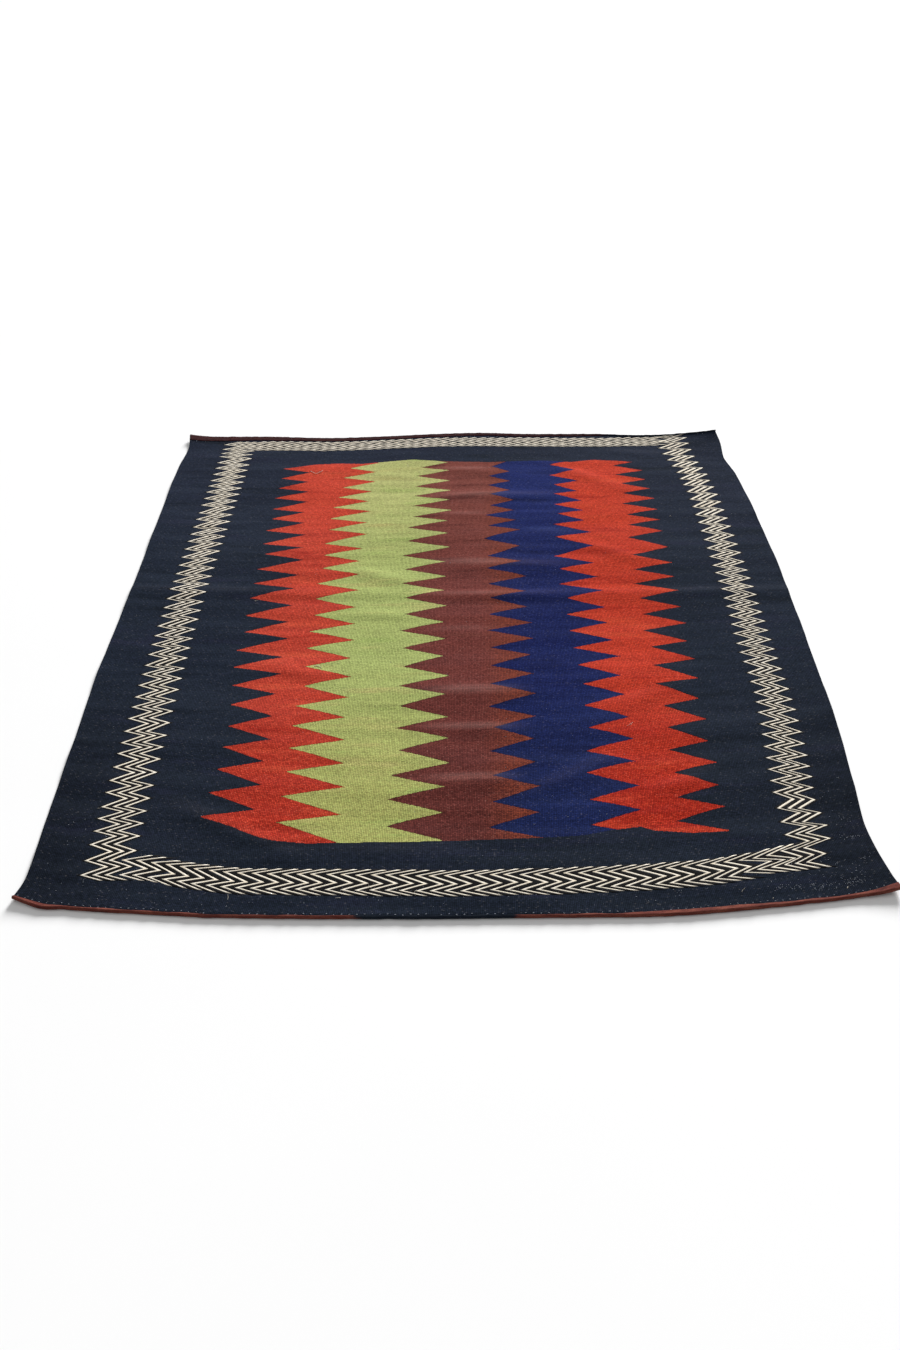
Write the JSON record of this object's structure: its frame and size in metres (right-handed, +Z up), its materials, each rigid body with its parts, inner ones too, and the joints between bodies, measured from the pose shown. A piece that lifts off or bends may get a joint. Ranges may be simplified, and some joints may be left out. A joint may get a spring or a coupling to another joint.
{
  "type": "sofreh kilim rug",
  "caption": "Flat-woven sofreh kilim lying on a floor, with soft folds, curled corners and a narrow tape folded over each end.",
  "frame": {"origin": "middle of the rug's outline, on the floor it lies on", "axes": "+X across the rug to the right as the picture shows it, +Y along it to the far end, +Z up out of its face"},
  "size_m": [1.428, 1.6106, 0.0222],
  "materials": {
    "kilim_wool": "matte",
    "binding_tape": "matte"
  },
  "bodies": {
    "root": {"kilim_cloth": "kilim_wool", "near_end_binding": "binding_tape", "far_end_binding": "binding_tape"}
  },
  "joints": []
}
